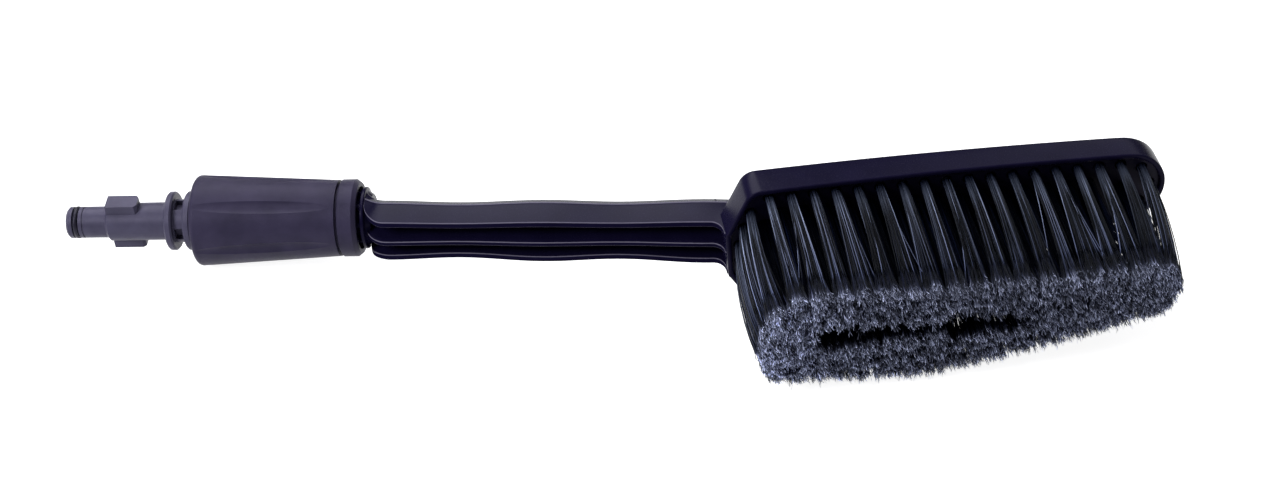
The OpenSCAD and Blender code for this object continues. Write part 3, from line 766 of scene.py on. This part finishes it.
def grow_shafts(row, p0, p1, bow, tone):
    """The row's shafts, down to where they split; returns where each one splits"""
    n = len(p0)
    lateral, drop = (p1 - p0) * [1, 1, 0], (p1 - p0) * [0, 0, 1]
    flag_at = 1 - FLAG_LEN / (ROOT_H - TIP_H)
    ts = np.linspace(0, flag_at + 0.03, SHAFT_POINTS)
    shaft = strand_path(p0, lateral, drop, bow, ts, row.early)
    radius = rng.uniform(0.14, 0.21, n)
    paths = to_row(head_to_brush(shaft))
    paths[..., 2] = np.maximum(paths[..., 2], SHAFT_LOWEST)
    apart = smooth(ts, APART_FROM, APART_TO)[None]
    # Painted sheen near the plate, then each filament's own tint with its lightest tints painted highlight streaks
    tint = ROOT_SHEEN * (1 - apart) + tone[:, None] * apart * lightness_along(p0[:, 0])[:, None] ** 2
    obj = tubes(row.name + "_shafts", paths, np.repeat(radius[:, None], SHAFT_POINTS, 1) / 1000, row.sides,
                np.broadcast_to(ts, (n, SHAFT_POINTS)), tint)
    piece(obj, row.look, "bristle_nylon", "brush", row.node)
    return shaft[:, -2]


def grow_ends(row, base, p1):
    """Each shaft splits into several finer, curled ends that stay in one wisp."""
    n = len(base)
    heading = p1 - base
    many = np.repeat(np.arange(n), row.splits)
    m = len(many)
    off = rng.normal(0, 0.5, (m, 3)) * [1, 1, 0]
    length = 1 + rng.uniform(-0.16, 0.06, (m, 1))
    start = base[many] + heading[many] * rng.uniform(0.0, 0.35, (m, 1))
    end = base[many] + heading[many] * length + off
    mid = (start + end) / 2 + rng.normal(0, 0.15, (m, 3)) - off * 0.12
    late = mid + (end - mid) * 0.72
    end = end + rng.normal(0, 0.42, (m, 3)) * [1, 1, 0.4]
    paths = to_row(head_to_brush(np.stack([start, mid, late, end], 1)))
    paths[..., 2] = np.maximum(paths[..., 2], END_LOWEST)
    thick = rng.uniform(0.07, 0.12, m)[:, None] * np.array([[1.0, 1.0, 0.95, 0.7]])
    wisp = rng.uniform(0, 1, n)
    own = np.clip((0.45 * wisp + 0.02)[many] + rng.uniform(-0.1, 0.6, m), 0, 1) ** 3.1
    tone = own * lightness_along(p1[many, 0]) ** 2
    obj = tubes(row.name + "_tips", paths, thick / 1000, 3, np.broadcast_to([0.0, 0.5, 0.86, 1.0], (m, 4)),
                np.repeat(tone[:, None], 4, 1))
    piece(obj, FLAG, "bristle_nylon", "brush")


ROWS = [Row("outer_near", "outer_tufts_near", 56, 4, 1.45, 0.35, 3.6, 1.0, 9, SHAFT),
        Row("outer_far", "outer_tufts_far", 60, 3, 1.8, 0.7, 4.3, 1.35, 8, SHAFT),
        Row("outer_heel", "outer_tufts_heel", 60, 4, 1.5, 0.4, 3.7, 1.0, 9, SHAFT),
        Row("outer_toe", "outer_tufts_toe", 60, 4, 1.7, 0.6, 3.6, 1.0, 9, SHAFT),
        Row("middle_near", "middle_tufts_near", 56, 3, 2.3, 0.8, 4.7, 1.25, 7, SHADED),
        Row("middle_far", "middle_tufts_far", 60, 3, 2.5, 0.9, 4.9, 1.4, 7, SHADED),
        Row("middle_ends", "middle_tufts_ends", 90, 3, 2.8, 0.9, 5.4, 1.4, 7, SHADED),
        Row("inner_near", "inner_tufts_near", 56, 3, 2.4, 0.9, 3.4, 1.2, 7, SHADED),
        Row("inner_far", "inner_tufts_far", 60, 3, 2.5, 0.9, 3.6, 1.3, 7, SHADED),
        Row("inner_heel", "inner_tufts_heel", 60, 3, 2.1, 0.8, 4.0, 1.0, 7, SHADED),
        Row("centre", "centre_tufts", 60, 3, 2.8, 0.9, 4.4, 1.25, 7, SHADED)]
for row in ROWS:
    strands = [tuft(row, root, tip) for root, tip in islands(row.node)]
    starts, ends, bows, tones = (np.concatenate(values) for values in zip(*strands))
    splits_at = grow_shafts(row, starts, ends, bows, tones)
    grow_ends(row, splits_at, ends)

# ---------------------------------------------------------------- floor and light
FLOOR_HALF, FLOOR_TONE, FLOOR_GLOW = 4, (0.42, 0.42, 0.43, 1), 0.9
corners = [(-FLOOR_HALF, -FLOOR_HALF, 0), (FLOOR_HALF, -FLOOR_HALF, 0),
           (FLOOR_HALF, FLOOR_HALF, 0), (-FLOOR_HALF, FLOOR_HALF, 0)]
floor = new_mesh("floor", corners, [(0, 1, 2, 3)], smooth=False)
floor_mat = bpy.data.materials.new("floor_look")
_, _, shader = nodes_of(floor_mat)
shader.inputs["Base Color"].default_value = FLOOR_TONE
shader.inputs["Emission Color"].default_value = (1, 1, 1, 1)
shader.inputs["Emission Strength"].default_value = FLOOR_GLOW
shader.inputs["Roughness"].default_value = 0.9
shader.inputs["Specular IOR Level"].default_value = 0.1
paint(floor, floor_mat)

world = bpy.data.worlds.new("studio")
world.use_nodes = True
world.node_tree.nodes["Background"].inputs["Color"].default_value = (0.97, 0.98, 1.0, 1)
world.node_tree.nodes["Background"].inputs["Strength"].default_value = 0.22
bpy.context.scene.world = world


def area(name, at, target, size, power):
    """A rectangular soft light at a place, facing a target; metres and watts"""
    light = bpy.data.lights.new(name, "AREA")
    light.shape = "RECTANGLE"
    light.size, light.size_y = size
    light.energy = power
    obj = bpy.data.objects.new(name, light)
    obj.location = at
    obj.rotation_euler = (Vector(target) - Vector(at)).to_track_quat("-Z", "Y").to_euler()
    bpy.context.scene.collection.objects.link(obj)


area("overhead", (-0.42, 0.6, 0.95), (0, 0, 0), (0.9, 0.8), 17)
area("strip", (-0.2, -0.1, 1.3), (-0.15, 0, 0), (1.2, 0.12), 8)
area("key", (-0.7, -0.55, 0.7), (-0.1, 0, 0), (0.5, 0.4), 13)
area("right_back", (0.5, 0.8, 0.8), (0, 0, 0), (0.6, 0.6), 2.2)
